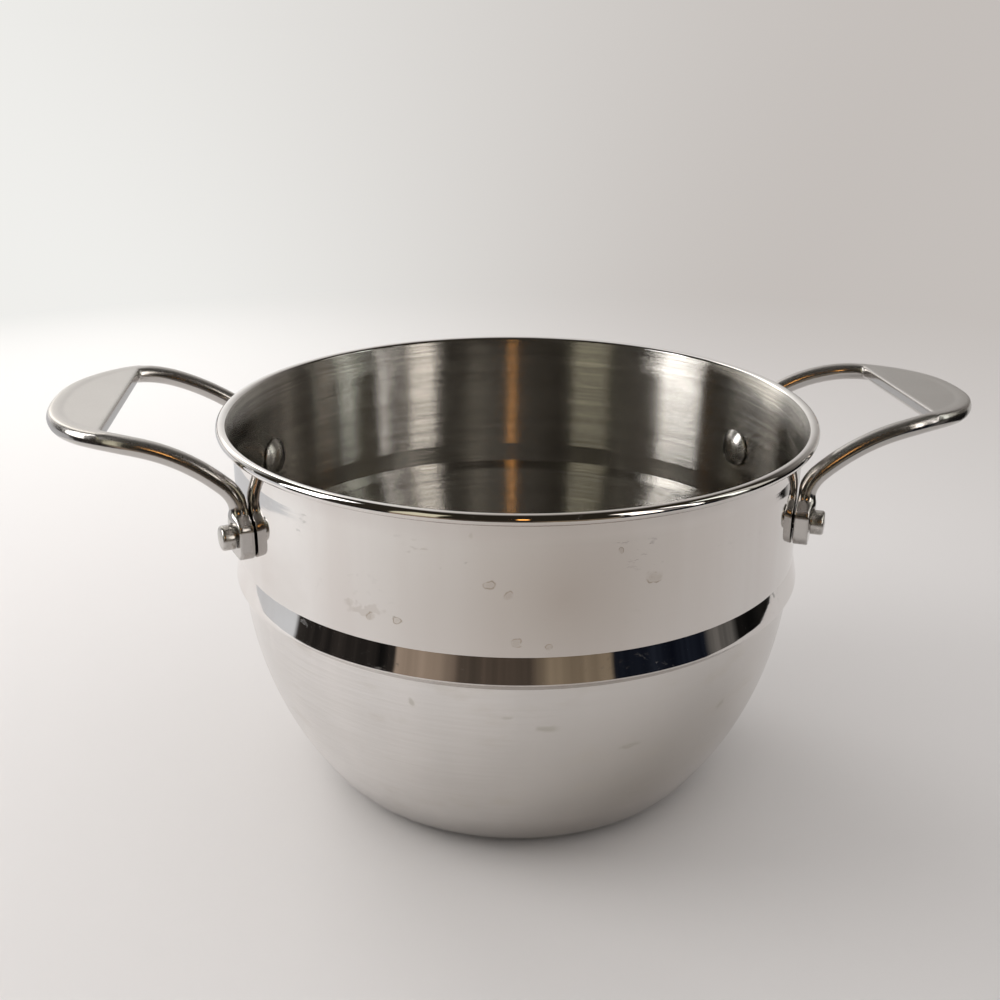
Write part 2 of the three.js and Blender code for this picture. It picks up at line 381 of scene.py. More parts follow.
def half_plan():
    """Half of the handle's loop from above: the foot, the knee and the points of the round outer end."""
    foot = cmath.rect(WALL_RADIUS + CLEARANCE + PAD_THICKNESS / 2, FOOT_ANGLE)
    along = cmath.rect(1, -LEG_TOE_IN)
    end = HANDLE_END - ROD / 2 - END_RADIUS
    start = foot - 1j * along * END_CORNER
    offset = start - end
    lag = (offset * along.conjugate()).real
    run = -lag + math.sqrt(lag**2 - abs(offset) ** 2 + (END_RADIUS - END_CORNER) ** 2)
    corner = start + along * run
    turn = bearing(end, corner)
    bend = arc(corner, END_CORNER, QUARTER - LEG_TOE_IN, turn, END_STEPS)
    return foot, foot + along * run, bend + arc(end, END_RADIUS, turn, 0, END_STEPS)[1:]


def leg_height(run):
    """Height of the rod's middle after a run from the foot: short bend, long arc, then level."""
    bend_start = PAD_TOP + FOOT_STRAIGHT
    slope = math.acos((LEG_RADIUS - HANDLE_LEVEL + bend_start) / (LEG_RADIUS - FOOT_BEND))
    bend_run = FOOT_BEND * (1 - math.sin(slope))
    if run < bend_run:
        return bend_start + math.sqrt(FOOT_BEND**2 - (FOOT_BEND - run) ** 2)
    left = max(bend_run + LEG_RADIUS * math.sin(slope) - run, 0)
    return HANDLE_LEVEL - LEG_RADIUS + math.sqrt(LEG_RADIUS**2 - left**2)


def half_line():
    """The rod's middle from the +Y foot to the middle of the outer end."""
    foot, knee, round_end = half_plan()
    places = [foot + (knee - foot) * (i / LEG_STEPS) ** 2 for i in range(LEG_STEPS)] + round_end
    runs = np.cumsum([0] + [abs(b - a) for a, b in zip(places, places[1:])])
    points = [(foot.real, foot.imag, PAD_TOP - PAD_LAP)]
    points += [(p.real, p.imag, leg_height(run)) for p, run in zip(places, runs)]
    return np.array(points)


def plate_edges():
    """Outward normals and distances of the thumb plate's convex outline, which reaches over the rod."""
    foot, knee, round_end = half_plan()
    upper = [foot, knee, *round_end[1:]]
    outline = upper + [p.conjugate() for p in reversed(upper[:-1])]
    normals = [(b - a) / abs(b - a) * 1j for a, b in zip(outline, outline[1:])]
    edges = [(n.real, n.imag, (n.conjugate() * a).real + PLATE_OVER) for n, a in zip(normals, outline)]
    edges.append((-1, 0, PLATE_DEPTH - HANDLE_END))
    return np.array(edges)


def soft_union(a, b, width):
    """Where either field is negative, with a fillet of some width between them."""
    share = np.clip(0.5 + 0.5 * (b - a) / width, 0, 1)
    return b + (a - b) * share - width * share * (1 - share)


def eased_cut(a, b, ease):
    """Where both fields are negative, with the edge between them rounded."""
    a = a + ease
    b = b + ease
    return np.minimum(np.maximum(a, b), 0) + np.hypot(np.maximum(a, 0), np.maximum(b, 0)) - ease


def rod_field(points, middle):
    """Distance to a round rod along a line that is given for +Y and is the same at -Y."""
    folded = points * (1, 0, 1) + np.abs(points) * (0, 1, 0)
    nearest = np.full(len(points), np.inf)
    for start, stop in zip(middle, middle[1:]):
        way = stop - start
        share = np.clip((folded - start) @ way / (way @ way), 0, 1)
        gap = folded - start - share[:, None] * way
        nearest = np.minimum(nearest, (gap * gap).sum(axis=1))
    return np.sqrt(nearest) - ROD / 2


def plate_field(points, edges):
    """Distance to the thumb plate, whose top is dished a little."""
    plan = np.max(points[:, :2] @ edges[:, :2].T - edges[:, 2], axis=1)
    middle = HANDLE_END - PLATE_DEPTH / 2
    along = (points[:, 0] - middle) / PLATE_DEPTH * 2
    across = points[:, 1] / END_RADIUS * PLATE_DISH_SPREAD
    spread = along**2 + across**2
    top = PLATE_TOP - PLATE_DISH * np.clip(1 - spread, 0, 1)
    level = np.maximum(points[:, 2] - top, PLATE_TOP - PLATE_THICKNESS - points[:, 2])
    return eased_cut(plan, level, PLATE_EASE)


def pad_field(points):
    """Distances to the foot pad at +Y or -Y and to what is cut from it: a bore and the tail's seat."""
    out = points[:, 0] * math.cos(FOOT_ANGLE) + np.abs(points[:, 1]) * math.sin(FOOT_ANGLE)
    across = np.abs(points[:, 1]) * math.cos(FOOT_ANGLE) - points[:, 0] * math.sin(FOOT_ANGLE)
    up = points[:, 2] - RIVET_HEIGHT
    outline = eased_cut(np.abs(across) - PAD_WIDTH / 2, np.abs(up) - PAD_HEIGHT / 2, PAD_CORNER)
    reach = np.hypot(across, up)
    bore = SHANK / 2 + CLEARANCE - reach
    seat = np.minimum(TAIL / 2 + TAIL_SEAT - reach, out - PAD_FACE)
    return eased_cut(outline, out - PAD_FACE, PAD_EASE), np.maximum(bore, seat)


def lid_height(points):
    """Level that the plate and the rod round it are ground down to; it climbs clear of the legs."""
    along = np.clip((HANDLE_END - PLATE_DEPTH - points[:, 0]) / PLATE_RAMP, 0, PLATE_RAMP_END)
    return PLATE_TOP + (PLATE_SUNK + LID_EASE) * along**2


def handle_field(points, middle, edges):
    """Distance to the whole handle: rod, thumb plate and foot pads, cut to the wall."""
    pad, bore = pad_field(points)
    field = soft_union(rod_field(points, middle), plate_field(points, edges), PLATE_BLEND)
    field = eased_cut(field, points[:, 2] - lid_height(points), LID_EASE)
    field = soft_union(field, pad, PAD_BLEND)
    wall = WALL_RADIUS + CLEARANCE - np.hypot(points[:, 0], points[:, 1])
    return np.maximum(eased_cut(field, wall, PAD_EASE), bore)


def slopes(field, points):
    """Gradient of a field at some points, by small steps."""
    at = field(points)
    steps = SLOPE_STEP * np.eye(3)
    ahead = [(field(points + step) - at) / SLOPE_STEP for step in steps]
    return at, np.stack(ahead, axis=1)


def surface_of(field, low, high):
    """Points and four-sided faces where a field is zero, from cells of a grid between two corners."""
    blocks = np.ceil((high - low) / (CELL * COARSE)).astype(int)
    centres = np.stack(np.meshgrid(*[np.arange(n) + 0.5 for n in blocks], indexing="ij"), -1)
    rough = field(low + centres.reshape(-1, 3) * CELL * COARSE).reshape(blocks)
    for axis in range(3):
        rough = np.repeat(rough, COARSE, axis)
    values = np.sign(rough) * CELL * COARSE
    near = np.argwhere(np.abs(rough) < CELL * COARSE)
    values[tuple(near.T)] = field(low + near * CELL)

    inside = values < 0
    cells = np.array(values.shape) - 1
    total = np.zeros((*cells, 3))
    count = np.zeros(cells)
    index = np.stack(np.meshgrid(*[np.arange(n) for n in cells], indexing="ij"), -1)
    for axis in range(3):
        others = [a for a in range(3) if a != axis]
        for corner in ((0, 0), (0, 1), (1, 0), (1, 1)):
            offset = np.zeros(3, int)
            offset[others] = corner
            far = offset.copy()
            far[axis] = 1
            a = values[tuple(slice(o, o + n) for o, n in zip(offset, cells))]
            b = values[tuple(slice(o, o + n) for o, n in zip(far, cells))]
            crossed = (a < 0) != (b < 0)
            share = np.where(crossed, a / np.where(crossed, a - b, 1), 0)
            place = index + offset + share[..., None] * (far - offset)
            total += np.where(crossed[..., None], place, 0)
            count += crossed
    used = count > 0
    number = np.full(cells, -1)
    number[used] = np.arange(used.sum())
    points = low + total[used] / count[used][:, None] * CELL

    faces = []
    for axis in range(3):
        before, after = [a for a in range(3) if a != axis]
        step = np.eye(3, dtype=int)
        start = inside[tuple(slice(0, -1) if a == axis else slice(1, -1) for a in range(3))]
        stop = inside[tuple(slice(1, None) if a == axis else slice(1, -1) for a in range(3))]
        edges = np.argwhere(start != stop) + step[before] + step[after]
        shifts = [0 * step[0], -step[before], -step[before] - step[after], -step[after]]
        faces.append(np.stack([number[tuple((edges + s).T)] for s in shifts], axis=1))
    return points, np.concatenate(faces)


def relaxed(points, faces, field, rounds):
    """Evens out the spacing of a surface's points and settles them on the field's zero."""
    ends = np.concatenate([faces[:, [i, (i + 1) % 4]] for i in range(4)])
    degree = np.bincount(ends.ravel(), minlength=len(points))[:, None]
    for step in range(rounds):
        total = np.zeros_like(points)
        np.add.at(total, ends[:, 0], points[ends[:, 1]])
        np.add.at(total, ends[:, 1], points[ends[:, 0]])
        points = points + RELAX_SHARE * (total / degree - points)
        for _ in range(2 if step == rounds - 1 else 1):
            at, slope = slopes(field, points)
            steep = np.maximum((slope * slope).sum(axis=1), LEAST_SLOPE)
            points = points - slope * (at / steep)[:, None]
    return points


def handle_mesh():
    """Points and faces of one handle on the +X side, with how satin each point is."""
    middle = half_line()
    edges = plate_edges()

    def field(points):
        return handle_field(points, middle, edges)

    box_low, box_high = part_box("handle_right")
    margin = 2 * CELL * COARSE
    low = np.array(box_low) / MM - margin
    high = np.array(box_high) / MM + margin
    points, faces = surface_of(field, low, high)
    points = relaxed(points, faces, field, RELAX_ROUNDS)
    plan = np.max(points[:, :2] @ edges[:, :2].T - edges[:, 2], axis=1)
    satin = np.clip((-plan - PLATE_SATIN_EDGE) / PLATE_SATIN_BLEND, 0, 1) * (points[:, 2] > HANDLE_LEVEL)
    return points, faces, satin


def leaning(points, droop):
    """A handle's points with the loop leaning to one side past its feet, and hanging lower."""
    share = np.clip((points[:, 0] - PAD_FACE) / TWIST_RUN, 0, 1)
    share = share * share * (3 - 2 * share)
    return points + (share * (TWIST * points[:, 1] - droop))[:, None] * (0, 0, 1)


def handle(name, shape, turn, droop, material):
    """One handle from the shared mesh, turned to its side of the bowl."""
    points, faces, satin = shape
    builder = Builder()
    spin = np.array(Matrix.Rotation(turn, 3, "Z"))
    builder.points = [tuple(p) for p in leaning(points, droop) @ spin.T]
    for corners in faces.tolist():
        builder.face(corners, "steel")
    made = builder.object(name, {"steel": material}, sharp=HANDLE_SHARP)
    mask = made.data.attributes.new("satin", "FLOAT", "POINT")
    mask.data.foreach_set("value", satin.astype(np.float32))
    return made


def rivet_profile():
    """A rivet's section from the head's crown to the tail's end: distance from its axis, place along it."""
    seat = math.sqrt((INNER_RADIUS - CLEARANCE) ** 2 - (HEAD / 2) ** 2)
    crown = HEAD_HEIGHT - HEAD_EDGE
    dome_radius = (crown**2 + (HEAD / 2) ** 2) / (2 * crown)
    dome = complex(0, seat - HEAD_HEIGHT + dome_radius)
    edge = complex(HEAD / 2, seat - HEAD_EDGE)
    rim = complex(HEAD / 2, seat)
    tail_start = PAD_FACE + CLEARANCE
    tail_end = tail_start + TAIL_LENGTH
    cap = arc(dome, dome_radius, -QUARTER, bearing(dome, edge), DOME_STEPS)
    turn = complex(TAIL / 2, tail_end - TAIL_CROWN)
    points = cap[:-1]
    points += eased(cap[-2], edge, rim, HEAD_EASE)
    points += [rim, complex(SHANK / 2, seat), complex(SHANK / 2, tail_start)]
    points += eased(complex(SHANK / 2, tail_start), complex(TAIL / 2, tail_start), turn, HEAD_EASE)
    points += eased(complex(TAIL / 2, tail_start), turn, complex(0, tail_end), TAIL_EASE)
    points += line(turn, complex(0, tail_end), CROWN_STEPS)[1:] + [complex(0, tail_end)]
    return points


def rivet(name, angle, material):
    """One rivet, laid through the wall at an angle round it."""
    builder = Builder()
    turned(builder, [(rivet_profile(), "steel")], RIVET_SIDES)
    lay = Matrix.Rotation(angle, 3, "Z") @ Matrix.Rotation(QUARTER, 3, "Y")
    rise = Vector((0, 0, RIVET_HEIGHT))
    builder.points = [tuple(lay @ Vector(p) + rise) for p in builder.points]
    return builder.object(name, {"steel": material})


# Materials

def add(tree, kind, inputs=None, **settings):
    """A new node with its settings, and with each named input linked to a socket or set to a value."""
    node = tree.nodes.new(kind)
    for key, value in settings.items():
        setattr(node, key, value)
    for key, value in (inputs or {}).items():
        if isinstance(value, bpy.types.NodeSocket):
            tree.links.new(value, node.inputs[key])
        else:
            node.inputs[key].default_value = value
    return node


def math_node(tree, operation, *values):
    node = add(tree, "ShaderNodeMath", dict(enumerate(values)), operation=operation)
    return node.outputs[0]


def product(tree, first, second):
    return math_node(tree, "MULTIPLY", first, second)


def largest(tree, *values):
    best = values[0]
    for value in values[1:]:
        best = math_node(tree, "MAXIMUM", best, value)
    return best


def vector_node(tree, operation, *values):
    node = add(tree, "ShaderNodeVectorMath", dict(enumerate(values)), operation=operation)
    return node.outputs["Value" if operation in ("LENGTH", "DISTANCE") else "Vector"]


def stretched(tree, place, shares):
    return vector_node(tree, "MULTIPLY", place, shares)


def axis_of(tree, vector, axis):
    return add(tree, "ShaderNodeSeparateXYZ", {0: vector}).outputs[axis]


def mix_value(tree, share, low, high):
    node = add(tree, "ShaderNodeMix", {0: share, 2: low, 3: high}, data_type="FLOAT")
    return node.outputs[0]


def mix_colour(tree, share, low, high):
    node = add(tree, "ShaderNodeMix", {0: share, 6: low, 7: high}, data_type="RGBA")
    return node.outputs[2]


def layered(tree, colour, *layers):
    """A colour with others laid over it in turn, each by its share."""
    for share, shade in layers:
        colour = mix_colour(tree, share, colour, shade)
    return colour


def span(tree, value, low, high, to_low=0.0, to_high=1.0):
    """A value taken from one range to another, held at the ends."""
    inputs = {"Value": value, "From Min": low, "From Max": high, "To Min": to_low, "To Max": to_high}
    return add(tree, "ShaderNodeMapRange", inputs).outputs["Result"]


def noise(tree, vector, scale=1.0, detail=3.0, roughness=0.5):
    inputs = {"Vector": vector, "Scale": scale, "Detail": detail, "Roughness": roughness}
    return add(tree, "ShaderNodeTexNoise", inputs).outputs["Fac"]


def tint(red, green, blue):
    return (red, green, blue, 1)


def feed(node, socket, value):
    node.id_data.links.new(value, node.inputs[socket])


def new_material(name):
    material = bpy.data.materials.new(name)
    material.use_nodes = True
    return material, material.node_tree


def new_finish(name, **constants):
    """A metal material: gives its node tree, its shader and the place on the object."""
    material, tree = new_material(name)
    shader = tree.nodes["Principled BSDF"]
    shader.inputs["Metallic"].default_value = 1
    for socket, value in constants.items():
        shader.inputs[socket.replace("_", " ")].default_value = value
    place = add(tree, "ShaderNodeTexCoord").outputs["Object"]
    return material, tree, shader, place


def turning_marks(tree, place, fine, slow):
    """Fine lines that run round the Z axis, from noise drawn out along the circle."""
    flat = stretched(tree, place, (1, 1, 0))
    radius = vector_node(tree, "LENGTH", flat)
    height = axis_of(tree, place, "Z")
    along = product(tree, math_node(tree, "ADD", radius, height), fine)
    slide = vector_node(tree, "SCALE", flat)
    slide.node.inputs["Scale"].default_value = slow
    lifted = add(tree, "ShaderNodeCombineXYZ", {"Z": along}).outputs[0]
    return noise(tree, vector_node(tree, "ADD", slide, lifted), detail=4.0, roughness=0.65)


# Blots: scales of the noise that shakes and breaks their outline, then where their inside ends and their
# outline lies, as shares of their half width
SHAKE_SCALE = 230.0
BREAK_SCALE = 380.0
BLOT_END = (0.55, 1.05)
BLOT_OUTLINE = 0.9
BLOT_OUTLINE_WIDTH = 0.25


def marks(tree, place, spots, wobble):
    """Blots with a broken outline, each with a half width and a half height: their inside and outline."""
    inputs = {"Vector": place, "Scale": SHAKE_SCALE, "Detail": 2.0}
    shake = add(tree, "ShaderNodeTexNoise", inputs).outputs["Color"]
    centred = vector_node(tree, "SUBTRACT", shake, (0.5, 0.5, 0.5))
    moved = vector_node(tree, "ADD", place, stretched(tree, centred, (wobble,) * 3))
    broken = span(tree, noise(tree, place, scale=BREAK_SCALE, detail=1.0), 0.40, 0.56)
    fills, edges = [], []
    for middle, wide, high in spots:
        shares = (1 / (wide * MM), 1 / (wide * MM), 1 / (high * MM))
        offset = vector_node(tree, "SUBTRACT", moved, middle)
        reach = vector_node(tree, "LENGTH", stretched(tree, offset, shares))
        fills.append(span(tree, reach, *BLOT_END, 1.0, 0.0))
        gap = math_node(tree, "ABSOLUTE", math_node(tree, "SUBTRACT", reach, BLOT_OUTLINE))
        edges.append(span(tree, gap, 0.0, BLOT_OUTLINE_WIDTH, 1.0, 0.0))
    return largest(tree, *fills), product(tree, largest(tree, *edges), broken)


def on_wall(angle, height, radius=WALL_RADIUS):
    """A place on the bowl: degrees round from the front, to the right, and height in millimetres."""
    turn = math.radians(angle)
    return (radius * MM * math.sin(turn), -radius * MM * math.cos(turn), height * MM)


def fading(tree, place, middle, reach, share):
    """A share that is full at one place and gone at some reach from it."""
    return span(tree, vector_node(tree, "DISTANCE", place, middle), 0.0, reach, share, 0.0)


def bump(tree, shader, height, strength, distance):
    inputs = {"Strength": strength, "Distance": distance, "Height": height}
    node = add(tree, "ShaderNodeBump", inputs)
    feed(shader, "Normal", node.outputs[0])


# Polished wall: clean steel, its upright bands, brown film, painted shade at the front and the right, and
# dried water
MIRROR_DEEP = tint(0.80, 0.785, 0.772)
MIRROR_PALE = tint(0.86, 0.845, 0.832)
MIRROR_BAND = tint(0.75, 0.715, 0.695)
# Brown film, whose colour also serves the painted shade at the front and the right of the wall
MIRROR_FILM_AND_SHADE = tint(0.50, 0.45, 0.405)
MIRROR_SOIL = tint(0.40, 0.34, 0.27)
BAND_SHARE = 0.55
FILM_SHARE = 0.16
SMEAR_SHARE = 0.55
SPOT_SHARE = 0.26
SPOT_EDGE_SHARE = 0.85

# How much rougher drip lines, dried water and scuffs make the polish
DRIP_ROUGH = 0.03
SOIL_ROUGH = 0.25
SCUFF_ROUGH = 0.12

# How far the outlines of spots and smears wander, in metres
SPOT_WOBBLE = 0.0036
SMEAR_WOBBLE = 0.012

# Water spots on the wall: place, half width and half height in millimetres
WALL_SPOTS = [
    (on_wall(-12.5, 132), 0.7, 1.8),
    (on_wall(-9.5, 116.5), 2.2, 1.6),
    (on_wall(-6.5, 113), 1.7, 1.5),
    (on_wall(-5, 98), 1.5, 1.6),
    (on_wall(0.5, 96), 1.1, 1.1),
    (on_wall(12.5, 126), 0.9, 0.8),
    (on_wall(19, 116), 3.0, 1.8),
    (on_wall(-26, 101.5), 1.6, 1.5),
    (on_wall(-31, 101), 2.2, 1.4),
    (on_wall(150, 112), 2.2, 1.8),
    (on_wall(196, 104), 1.8, 1.6),
    (on_wall(84, 108), 1.4, 1.4),
]

# Brown smears on the wall: place, half width and half height in millimetres
WALL_SMEARS = [
    (on_wall(-32, 103), 10, 2.6),
    (on_wall(4, 119), 10, 4.0),
    (on_wall(11, 112), 7, 1.8),
    (on_wall(165, 116), 9, 2.4),
    (on_wall(-100, 106), 8, 2.2),
]

# Painted shade on the front and the right of the wall, in the film's brown: middle, reach in metres, and
# share at the middle
WALL_PAINTED_SHADE = [
    (on_wall(3, 112), 0.090, 0.95),
    (on_wall(76, 110), 0.055, 0.55),
]


def mirror_steel():
    """Polished sheet with water spots, drip lines, scuffs, a brown film, and painted shade at the front and
    the right.
    """
    material, tree, shader, place = new_finish("mirror_steel")
    smudge = noise(tree, place, scale=38.0, detail=4.0, roughness=0.6)
    upright = noise(tree, stretched(tree, place, (42, 42, 3)), roughness=0.55)
    bands = span(tree, upright, 0.44, 0.60, to_high=BAND_SHARE)
    clouds = noise(tree, stretched(tree, place, (1, 1, 2.2)), scale=17.0, roughness=0.55)
    smear, _ = marks(tree, place, WALL_SMEARS, SMEAR_WOBBLE)
    # Painted shade at the front and the right of the wall, laid in with the real brown film's clouds and
    # smears
    films_and_shade = [fading(tree, place, *shade_patch) for shade_patch in WALL_PAINTED_SHADE]
    films_and_shade.append(product(tree, span(tree, clouds, 0.48, 0.72), FILM_SHARE))
    films_and_shade.append(product(tree, smear, SMEAR_SHARE))
    inside, outline = marks(tree, place, WALL_SPOTS, SPOT_WOBBLE)
    soiled = largest(tree, product(tree, inside, SPOT_SHARE), product(tree, outline, SPOT_EDGE_SHARE))
    clean = mix_colour(tree, smudge, MIRROR_DEEP, MIRROR_PALE)
    covers = [(bands, MIRROR_BAND), (largest(tree, *films_and_shade), MIRROR_FILM_AND_SHADE), (soiled, MIRROR_SOIL)]
    feed(shader, "Base Color", layered(tree, clean, *covers))

    drips = noise(tree, stretched(tree, place, (330, 330, 14)), detail=2.0)
    worn = noise(tree, place, scale=75.0, detail=1.0)
    scuffs = noise(tree, stretched(tree, place, (300, 300, 620)), detail=2.0, roughness=0.6)
    scuffed = product(tree, span(tree, scuffs, 0.60, 0.66), span(tree, worn, 0.52, 0.60))
    rough = span(tree, smudge, 0.3, 0.75, 0.025, 0.055)
    dulled = [(span(tree, drips, 0.62, 0.78), DRIP_ROUGH), (soiled, SOIL_ROUGH), (scuffed, SCUFF_ROUGH)]
    for share, more in dulled:
        rough = math_node(tree, "ADD", rough, product(tree, share, more))
    feed(shader, "Roughness", rough)
    bump(tree, shader, turning_marks(tree, place, fine=260.0, slow=6.0), strength=0.05, distance=0.0002)
    return material


# Lower bowl: clean satin steel and what lies over it
SATIN_DEEP = tint(0.76, 0.745, 0.733)
SATIN_PALE = tint(0.82, 0.805, 0.793)
SATIN_BAND = tint(0.85, 0.83, 0.815)
# Painted shade: low on the right, and at the foot where the bowl meets the floor
SATIN_LOW_SHADE = tint(0.48, 0.45, 0.415)
SATIN_FOOT_SHADE = tint(0.30, 0.275, 0.25)
SATIN_LINE = tint(0.56, 0.53, 0.50)
SATIN_STAIN = tint(0.58, 0.54, 0.48)
SATIN_BLOT = tint(0.46, 0.43, 0.375)
# Share of the painted shade at the foot
FOOT_SHADE_SHARE = 0.75
LINE_SHARE = 0.26
STAIN_SHARE = 0.35
BLOT_SHARE = 0.55
BLOT_EDGE_SHARE = 0.20

# Heights in metres between which the painted shade at the foot fades, and between which its polish fades
FOOT_SHADE_HEIGHTS = (0.002, 0.020)
FOOT_POLISH = (0.004, 0.035)

# Painted shade low on the right: middle, reach in metres, and share at the middle
LOW_PAINTED_SHADE = (on_wall(22, 30, 86), 0.100, 0.98)

# Dull blots on the lower bowl: place, half width and half height in millimetres
SIDE_SPOTS = [
    (on_wall(0.5, 66, 100.5), 3.6, 1.5),
    (on_wall(-6.5, 71, 101), 2.4, 0.9),
    (on_wall(17, 55, 99), 5.0, 1.1),
    (on_wall(39, 59, 99.5), 2.6, 2.0),
    (on_wall(-24, 73, 101), 1.2, 1.8),
    (on_wall(140, 60, 99), 3.0, 1.6),
    (on_wall(230, 66, 100), 2.4, 1.6),
]


def satin_steel():
    """Lower bowl: soft satin with fine turning lines, faint stains, a few dull blots, and painted shade at
    the foot and low right.
    """
    material, tree, shader, place = new_finish("satin_steel", Anisotropic=0.35, Anisotropic_Rotation=0.25)
    height = axis_of(tree, place, "Z")
    lines = turning_marks(tree, place, fine=1000.0, slow=38.0)
    cloud = noise(tree, place, scale=26.0, detail=5.0, roughness=0.6)
    upright = noise(tree, stretched(tree, place, (55, 55, 4)), roughness=0.55)
    patches = noise(tree, stretched(tree, place, (1, 1, 2.4)), scale=48.0, detail=4.0, roughness=0.6)
    inside, outline = marks(tree, place, SIDE_SPOTS, SPOT_WOBBLE)
    soiled = largest(tree, product(tree, inside, BLOT_SHARE), product(tree, outline, BLOT_EDGE_SHARE))
    covers = [
        (span(tree, upright, 0.35, 0.65), SATIN_BAND),
        # painted shade low on the right
        (fading(tree, place, *LOW_PAINTED_SHADE), SATIN_LOW_SHADE),
        # painted shade at the foot, darker towards the bottom where the bowl meets the floor
        (span(tree, height, *FOOT_SHADE_HEIGHTS, FOOT_SHADE_SHARE, 0.0), SATIN_FOOT_SHADE),
        (span(tree, lines, 0.36, 0.64, LINE_SHARE, 0.0), SATIN_LINE),
        (product(tree, span(tree, patches, 0.56, 0.72), STAIN_SHARE), SATIN_STAIN),
        (soiled, SATIN_BLOT),
    ]
    clean = mix_colour(tree, cloud, SATIN_DEEP, SATIN_PALE)
    feed(shader, "Base Color", layered(tree, clean, *covers))
    uneven = span(tree, lines, 0.35, 0.65, -0.04, 0.04)
    rough = math_node(tree, "ADD", span(tree, cloud, 0.3, 0.7, 0.17, 0.21), uneven)
    rough = product(tree, rough, span(tree, height, *FOOT_POLISH, 0.45, 1.0))
    feed(shader, "Roughness", rough)
    tangent = add(tree, "ShaderNodeTangent", direction_type="RADIAL", axis="Z").outputs[0]
    feed(shader, "Tangent", tangent)
    bump(tree, shader, lines, strength=0.12, distance=0.0003)
    return material


# Inside of the bowl: the hollows and the backs of its brush strokes
BRUSHED_DEEP = tint(0.41, 0.39, 0.36)
BRUSHED_PALE = tint(0.555, 0.535, 0.50)

# Slope of the finest grooves' sides: shallow and deep ones
GROOVE_SHALLOW = 0.90
GROOVE_DEEP = 1.22


def brushed_steel():
    """Inside: brushed round the axis in fine grooves, whose sides spread the light up and down the wall."""
    material, tree, shader, place = new_finish("brushed_steel")
    lines = turning_marks(tree, place, fine=1900.0, slow=14.0)
    strokes = span(tree, turning_marks(tree, place, fine=800.0, slow=12.0), 0.34, 0.66)
    cloud = noise(tree, place, scale=30.0, detail=4.0, roughness=0.6)
    feed(shader, "Base Color", mix_colour(tree, strokes, BRUSHED_DEEP, BRUSHED_PALE))
    feed(shader, "Roughness", span(tree, cloud, 0.3, 0.7, 0.10, 0.13))
    grain = add(tree, "ShaderNodeTexWhiteNoise", {"Vector": place}, noise_dimensions="3D").outputs["Value"]
    depth = span(tree, lines, 0.35, 0.65, GROOVE_SHALLOW, GROOVE_DEEP)
    lean = product(tree, math_node(tree, "SUBTRACT", grain, 0.5), depth)
    normal = add(tree, "ShaderNodeNewGeometry").outputs["Normal"]
    round_about = add(tree, "ShaderNodeTangent", direction_type="RADIAL", axis="Z").outputs[0]
    across = vector_node(tree, "SCALE", vector_node(tree, "CROSS_PRODUCT", normal, round_about))
    feed(across.node, "Scale", lean)
    groove = vector_node(tree, "NORMALIZE", vector_node(tree, "ADD", normal, across))
    feed(shader, "Normal", groove)
    return material


# Handles and rivets
HANDLE_DEEP = tint(0.50, 0.48, 0.46)
HANDLE_PALE = tint(0.56, 0.54, 0.52)
ROD_SATIN = 0.9
POLISH_GRAIN = 0.05
RIVET_DEEP = tint(0.44, 0.42, 0.395)
RIVET_PALE = tint(0.60, 0.585, 0.56)
RIVET_DING = tint(0.38, 0.35, 0.31)


def handle_steel():
    """Polished rod that turns satin on its upper side and on top of the thumb plate."""
    material, tree, shader, place = new_finish("handle_steel")
    plate = add(tree, "ShaderNodeAttribute", attribute_name="satin").outputs["Fac"]
    facing = axis_of(tree, add(tree, "ShaderNodeNewGeometry").outputs["Normal"], "Z")
    satin = largest(tree, plate, span(tree, facing, 0.30, 0.75, to_high=ROD_SATIN))
    cloud = noise(tree, place, scale=60.0, detail=4.0, roughness=0.6)
    grain = noise(tree, place, scale=2400.0, detail=2.0)
    feed(shader, "Base Color", mix_colour(tree, cloud, HANDLE_DEEP, HANDLE_PALE))
    polish = span(tree, cloud, 0.3, 0.7, 0.13, 0.19)
    dull = span(tree, grain, 0.3, 0.7, 0.28, 0.38)
    feed(shader, "Roughness", mix_value(tree, satin, polish, dull))
    height = product(tree, grain, math_node(tree, "ADD", satin, POLISH_GRAIN))
    bump(tree, shader, height, strength=0.15, distance=0.0001)
    return material


def rivet_steel():
    """Rivets: dull pressed steel with small dings and a darker film."""
    material, tree, shader, place = new_finish("rivet_steel")
    cloud = noise(tree, place, scale=170.0, detail=5.0, roughness=0.6)
    dings = span(tree, noise(tree, place, scale=620.0, detail=2.0), 0.62, 0.72)
    colour = mix_colour(tree, cloud, RIVET_DEEP, RIVET_PALE)
    feed(shader, "Base Color", mix_colour(tree, dings, colour, RIVET_DING))
    feed(shader, "Roughness", span(tree, cloud, 0.3, 0.7, 0.18, 0.30))
    bump(tree, shader, cloud, strength=0.10, distance=0.0003)
    return material


# Studio, in metres

# Pale floor, which keeps the shadow near the basket and is the backdrop from FLOOR_FAR on
FLOOR_SIZE = 60.0
FLOOR_GAP = 0.0001
FLOOR_NEAR = 0.28
FLOOR_FAR = 0.9
FLOOR_COLOUR = tint(0.80, 0.775, 0.765)
# Backdrop colours: pale on the left, and painted shade on the right
BACKDROP_LEFT = tint(0.87, 0.865, 0.84)
BACKDROP_RIGHT_SHADED = tint(0.55, 0.515, 0.49)
BACKDROP_SPREAD = 0.42

# Light from above: its colour, and its strengths below and above two elevations in degrees
DAYLIGHT_COLOUR = tint(1.0, 0.985, 0.97)
DAYLIGHT_RISE = (15.0, 35.0)
DAYLIGHT_LOW = 0.12
DAYLIGHT_HIGH = 0.80

